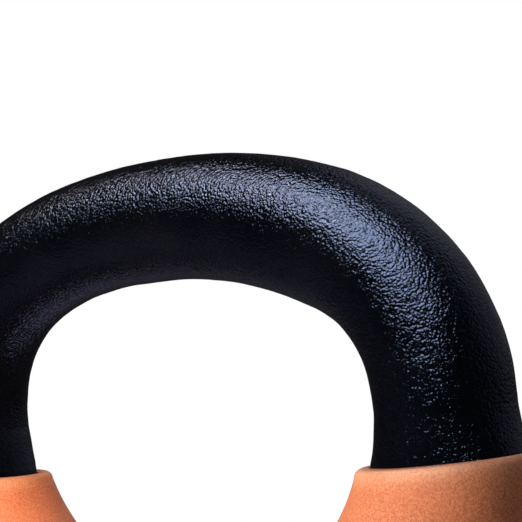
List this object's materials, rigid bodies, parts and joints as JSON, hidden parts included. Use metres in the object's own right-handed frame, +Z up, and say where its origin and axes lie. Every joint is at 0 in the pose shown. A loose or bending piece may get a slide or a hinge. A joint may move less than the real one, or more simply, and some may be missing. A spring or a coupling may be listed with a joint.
{
  "type": "kettlebell",
  "caption": "Jacketed kettlebell: coated loop handle with two horns on an iron ball, moulded jacket with raised collars round the horns, flat rubber base.",
  "frame": {"origin": "centre of the base, on the floor", "axes": "+X along the grip, +Y to the back, +Z up"},
  "size_m": [0.2114, 0.186, 0.2781],
  "materials": {
    "handle_coat": "glossy black coat with a fine wrinkled, orange-peel surface",
    "jacket": "matte fine-grained terracotta orange moulding",
    "iron": "as-cast grey iron",
    "steel": "plain turned steel",
    "rubber": "matte black moulded rubber"
  },
  "bodies": {
    "root": {"handle": "handle_coat", "jacket": "jacket", "bell_core": "iron", "handle_pin_left": "steel", "handle_pin_right": "steel", "ballast_shot": "steel", "plug_washer": "rubber", "ballast_plug": "steel", "base_pad": "rubber"}
  },
  "joints": []
}
